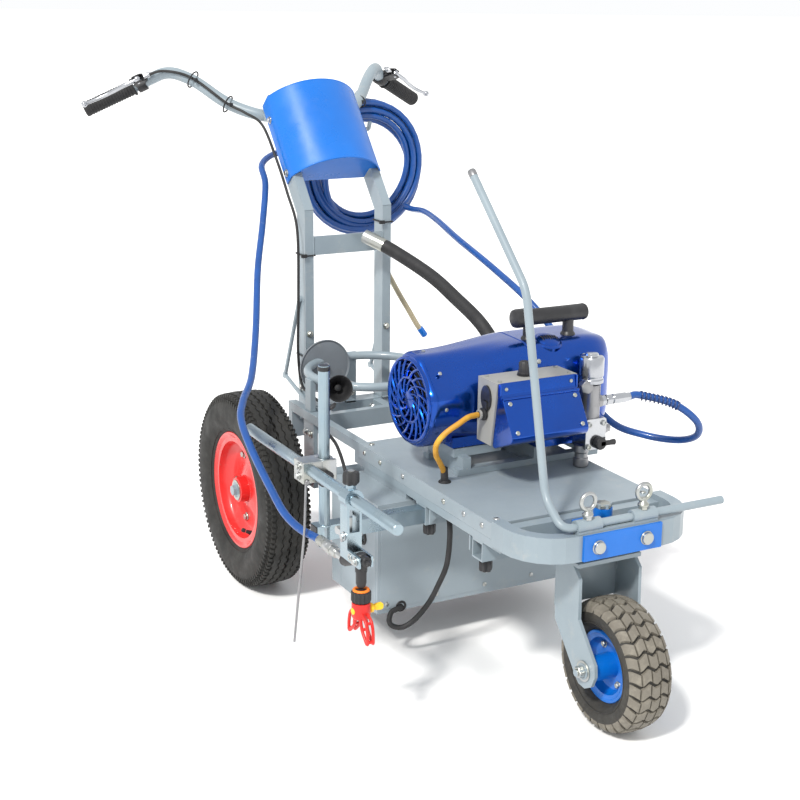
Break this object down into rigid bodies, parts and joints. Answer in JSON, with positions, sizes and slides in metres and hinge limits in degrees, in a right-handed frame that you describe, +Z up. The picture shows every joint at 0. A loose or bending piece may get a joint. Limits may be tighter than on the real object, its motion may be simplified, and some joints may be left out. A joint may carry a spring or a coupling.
{
  "type": "line striping machine",
  "caption": "Push-along line striping machine with an electric airless sprayer, swivelling front wheel, sighting rod and side-mounted spray gun",
  "frame": {"origin": "centre of the overall bounding box in plan, at floor level under the tyres", "axes": "+Z up, -Y the way the machine is pushed (front caster wheel), -X the spray gun side"},
  "size_m": [0.8786, 1.6248, 1.0114],
  "materials": {
    "frame_paint": "satin light blue-grey paint, dusty",
    "azure_paint": "glossy azure paint",
    "metallic_blue": "deep metallic blue lacquer",
    "red_paint": "glossy red paint",
    "tyre_rubber": "dusty black tyre rubber",
    "black_rubber": "matt black rubber",
    "black_plastic": "black moulded plastic",
    "zinc": "bright zinc plate",
    "chrome": "polished chrome",
    "blue_hose": "blue braided hose cover",
    "red_plastic": "red moulded plastic",
    "yellow_plastic": "yellow moulded plastic",
    "yellow_cable": "yellow-brown cable sheath"
  },
  "bodies": {
    "cart": {"main_frame": "frame_paint", "deck_plate": "frame_paint", "front_pan": "frame_paint", "under_deck_box": "frame_paint", "post_frame": "frame_paint", "bucket_hoop": "frame_paint", "handlebar": "frame_paint", "sprayer_stand": "frame_paint", "front_plate": "azure_paint", "pivot_tube": "azure_paint", "shield": "azure_paint", "fan_shroud": "metallic_blue", "drive_housing": "metallic_blue", "box_cover": "metallic_blue", "grip_left": "black_rubber", "grip_right": "black_rubber", "suction_hose": "black_rubber", "under_deck_hose": "black_rubber", "trigger_cable": "black_rubber", "control_box": "black_plastic", "carry_handle": "black_plastic", "rod_sleeves": "zinc", "pump": "chrome", "hose_coil": "blue_hose", "hose_feed": "blue_hose", "hose_drop": "blue_hose", "return_tube": "yellow_cable", "power_cable": "yellow_cable"},
    "rear_wheel_left": {"rear_tyre_left": "tyre_rubber", "rear_rim_left": "red_paint"},
    "rear_wheel_right": {"rear_tyre_right": "tyre_rubber", "rear_rim_right": "red_paint"},
    "caster": {"caster_fork": "frame_paint"},
    "front_wheel": {"front_tyre": "tyre_rubber", "front_rim": "azure_paint"},
    "lever_left_body": {"lever_left": "chrome"},
    "lever_right_body": {"lever_right": "chrome"},
    "pointer": {"pointer_rod": "frame_paint"},
    "eye_left": {"eye_bolt_left": "zinc"},
    "eye_right": {"eye_bolt_right": "zinc"},
    "beam": {"gun_beam": "zinc"},
    "rod_holder": {"gun_rod": "zinc"},
    "carriage": {"gun_carriage": "zinc", "gun_body": "black_plastic", "tip_guard": "red_plastic"},
    "tip": {"tip_key": "yellow_plastic"},
    "trigger": {"gun_trigger": "zinc"},
    "knob_rear": {"socket_knob_rear": "black_plastic"},
    "knob_front": {"socket_knob_front": "black_plastic"},
    "knob_clamp": {"clamp_knob": "black_plastic"},
    "knob_carriage": {"carriage_knob": "black_plastic"},
    "fan_wheel": {"fan": "black_plastic"},
    "knob_pressure": {"pressure_knob": "black_plastic"},
    "rocker": {"rocker_switch": "black_plastic"},
    "valve": {"prime_valve": "black_plastic"}
  },
  "joints": [
    {"name": "rear_wheel_left_spin", "type": "hinge", "parent": "cart", "child": "rear_wheel_left", "pos_m": [-0.292, 0.1605, 0.2], "axis": [1, 0, 0], "continuous": true},
    {"name": "rear_wheel_right_spin", "type": "hinge", "parent": "cart", "child": "rear_wheel_right", "pos_m": [0.292, 0.1605, 0.2], "axis": [1, 0, 0], "continuous": true},
    {"name": "caster_swivel", "type": "hinge", "parent": "cart", "child": "caster", "pos_m": [0, -0.6445, 0.3], "axis": [0, 0, 1], "continuous": true},
    {"name": "front_wheel_spin", "type": "hinge", "parent": "caster", "child": "front_wheel", "pos_m": [0, -0.6995, 0.114], "axis": [1, 0, 0], "continuous": true},
    {"name": "lever_left_squeeze", "type": "hinge", "parent": "cart", "child": "lever_left_body", "pos_m": [-0.322, 0.71163, 0.98471], "axis": [0.2622, -0.4201, -0.8688], "range_deg": [0, 9], "stiffness_Nm_per_rad": 0.6, "deforming": ["trigger_cable"]},
    {"name": "lever_right_squeeze", "type": "hinge", "parent": "cart", "child": "lever_right_body", "pos_m": [0.322, 0.71163, 0.98471], "axis": [0.2622, 0.4201, 0.8688], "range_deg": [0, 9], "stiffness_Nm_per_rad": 0.6},
    {"name": "pointer_tilt", "type": "hinge", "parent": "cart", "child": "pointer", "pos_m": [0, -0.6855, 0.364], "axis": [1, 0, 0], "range_deg": [-14, 110]},
    {"name": "eye_bolt_left_turn", "type": "hinge", "parent": "cart", "child": "eye_left", "pos_m": [-0.0595, -0.6855, 0.385], "axis": [0, 0, 1], "continuous": true},
    {"name": "eye_bolt_right_turn", "type": "hinge", "parent": "cart", "child": "eye_right", "pos_m": [0.0505, -0.6855, 0.385], "axis": [0, 0, 1], "continuous": true},
    {"name": "gun_beam_slide", "type": "slide", "parent": "cart", "child": "beam", "axis": [1, 0, 0], "range_m": [0, 0.08], "deforming": ["hose_drop", "trigger_cable"]},
    {"name": "gun_rod_height", "type": "slide", "parent": "beam", "child": "rod_holder", "axis": [0, 0, 1], "range_m": [-0.08, 0.14], "deforming": ["hose_drop", "trigger_cable"]},
    {"name": "gun_carriage_slide", "type": "slide", "parent": "rod_holder", "child": "carriage", "axis": [0, 1, 0], "range_m": [-0.14, 0.04], "deforming": ["hose_drop", "trigger_cable"]},
    {"name": "tip_key_turn", "type": "hinge", "parent": "carriage", "child": "tip", "pos_m": [-0.395, -0.5445, 0.228], "axis": [1, 0, 0], "range_deg": [0, 180]},
    {"name": "gun_trigger_pull", "type": "hinge", "parent": "carriage", "child": "trigger", "pos_m": [-0.395, -0.5015, 0.336], "axis": [1, 0, 0], "range_deg": [0, 20], "deforming": ["trigger_cable"]},
    {"name": "socket_knob_rear_turn", "type": "hinge", "parent": "cart", "child": "knob_rear", "pos_m": [-0.15, -0.3295, 0.252], "axis": [0, 0, 1], "continuous": true},
    {"name": "socket_knob_front_turn", "type": "hinge", "parent": "cart", "child": "knob_front", "pos_m": [-0.15, -0.5255, 0.252], "axis": [0, 0, 1], "continuous": true},
    {"name": "clamp_knob_turn", "type": "hinge", "parent": "rod_holder", "child": "knob_clamp", "pos_m": [-0.373, -0.3665, 0.392], "axis": [0, 1, 0], "continuous": true},
    {"name": "carriage_knob_turn", "type": "hinge", "parent": "carriage", "child": "knob_carriage", "pos_m": [-0.395, -0.5075, 0.44], "axis": [0, 0, 1], "continuous": true},
    {"name": "fan_spin", "type": "hinge", "parent": "cart", "child": "fan_wheel", "pos_m": [-0.123, -0.2695, 0.48], "axis": [1, 0, 0], "continuous": true},
    {"name": "pressure_knob_turn", "type": "hinge", "parent": "cart", "child": "knob_pressure", "pos_m": [0, -0.3945, 0.545], "axis": [0, 0, 1], "range_deg": [0, 270]},
    {"name": "rocker_switch_tilt", "type": "hinge", "parent": "cart", "child": "rocker", "pos_m": [-0.07, -0.3945, 0.492], "axis": [0, 0, 1], "range_deg": [-3, 3]},
    {"name": "prime_valve_turn", "type": "hinge", "parent": "cart", "child": "valve", "pos_m": [0.158, -0.4095, 0.394], "axis": [0, 1, 0], "range_deg": [0, 90]}
  ],
  "couplings": [
    {"joint": "gun_trigger_pull", "follows": "lever_left_squeeze", "ratio": 2}
  ]
}
